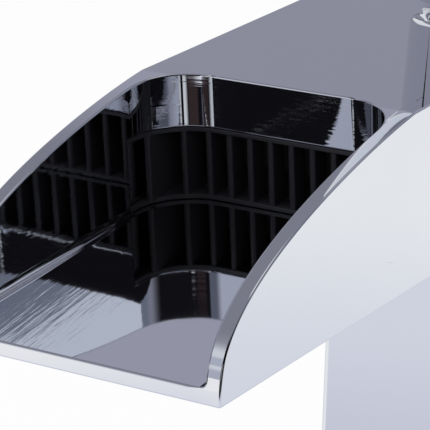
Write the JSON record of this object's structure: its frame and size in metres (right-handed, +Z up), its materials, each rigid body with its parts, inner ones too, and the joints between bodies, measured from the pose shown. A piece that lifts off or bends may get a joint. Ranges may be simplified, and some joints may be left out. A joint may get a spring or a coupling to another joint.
{
  "type": "waterfall basin faucet",
  "caption": "Deck-mounted single-lever basin faucet with a square column, an open sloping spout channel fed through a slotted black grille, a turned conical bonnet and a flat lever.",
  "frame": {"origin": "middle of the column's foot on the deck, on the axis of the cartridge", "axes": "+Z up out of the deck, the spout reaches towards -Y, +X to the right of the user who stands at -Y"},
  "size_m": [0.0514, 0.1687, 0.2131],
  "materials": {
    "chrome": "polished chrome plate",
    "black_plastic": "satin moulded",
    "grey_plastic": "moulded",
    "red_plastic": "moulded",
    "index_plastic": "gloss, half red and half blue",
    "black_rubber": "moulded rubber",
    "ceramic": "lapped",
    "steel": "zinc plated",
    "brass": "turned"
  },
  "bodies": {
    "base": {"spout": "chrome", "column": "chrome", "inlet_sockets": "brass", "flow_grille": "black_plastic", "cartridge_base": "grey_plastic", "port_seals": "black_rubber", "cartridge_housing": "grey_plastic", "fixed_disc": "ceramic", "limit_ring": "red_plastic", "retaining_nut": "brass", "bonnet": "chrome", "base_gasket": "black_rubber", "mounting_stud": "steel", "rubber_washer": "black_rubber", "steel_washer": "steel", "stud_nut": "brass"},
    "rotor": {"rotor": "grey_plastic", "stem_pin": "steel"},
    "disc": {"moving_disc": "ceramic", "disc_carrier": "black_plastic"},
    "lever": {"stem": "brass", "lever_handle": "chrome", "lever_screw": "steel", "index_plug": "index_plastic"}
  },
  "joints": [
    {"name": "temperature", "type": "hinge", "parent": "base", "child": "rotor", "pos_m": [0, 0, 0.12308], "axis": [0, 0, 1], "range_deg": [-45, 45]},
    {"name": "lift", "type": "hinge", "parent": "rotor", "child": "lever", "pos_m": [0, 0, 0.12308], "axis": [-1, 0, 0], "range_deg": [0, 25]},
    {"name": "disc_slide", "type": "slide", "parent": "rotor", "child": "disc", "axis": [0, -1, 0], "range_m": [0, 0.0063]}
  ],
  "couplings": [
    {"joint": "disc_slide", "follows": "lift", "m_per_rad": 0.014385}
  ]
}
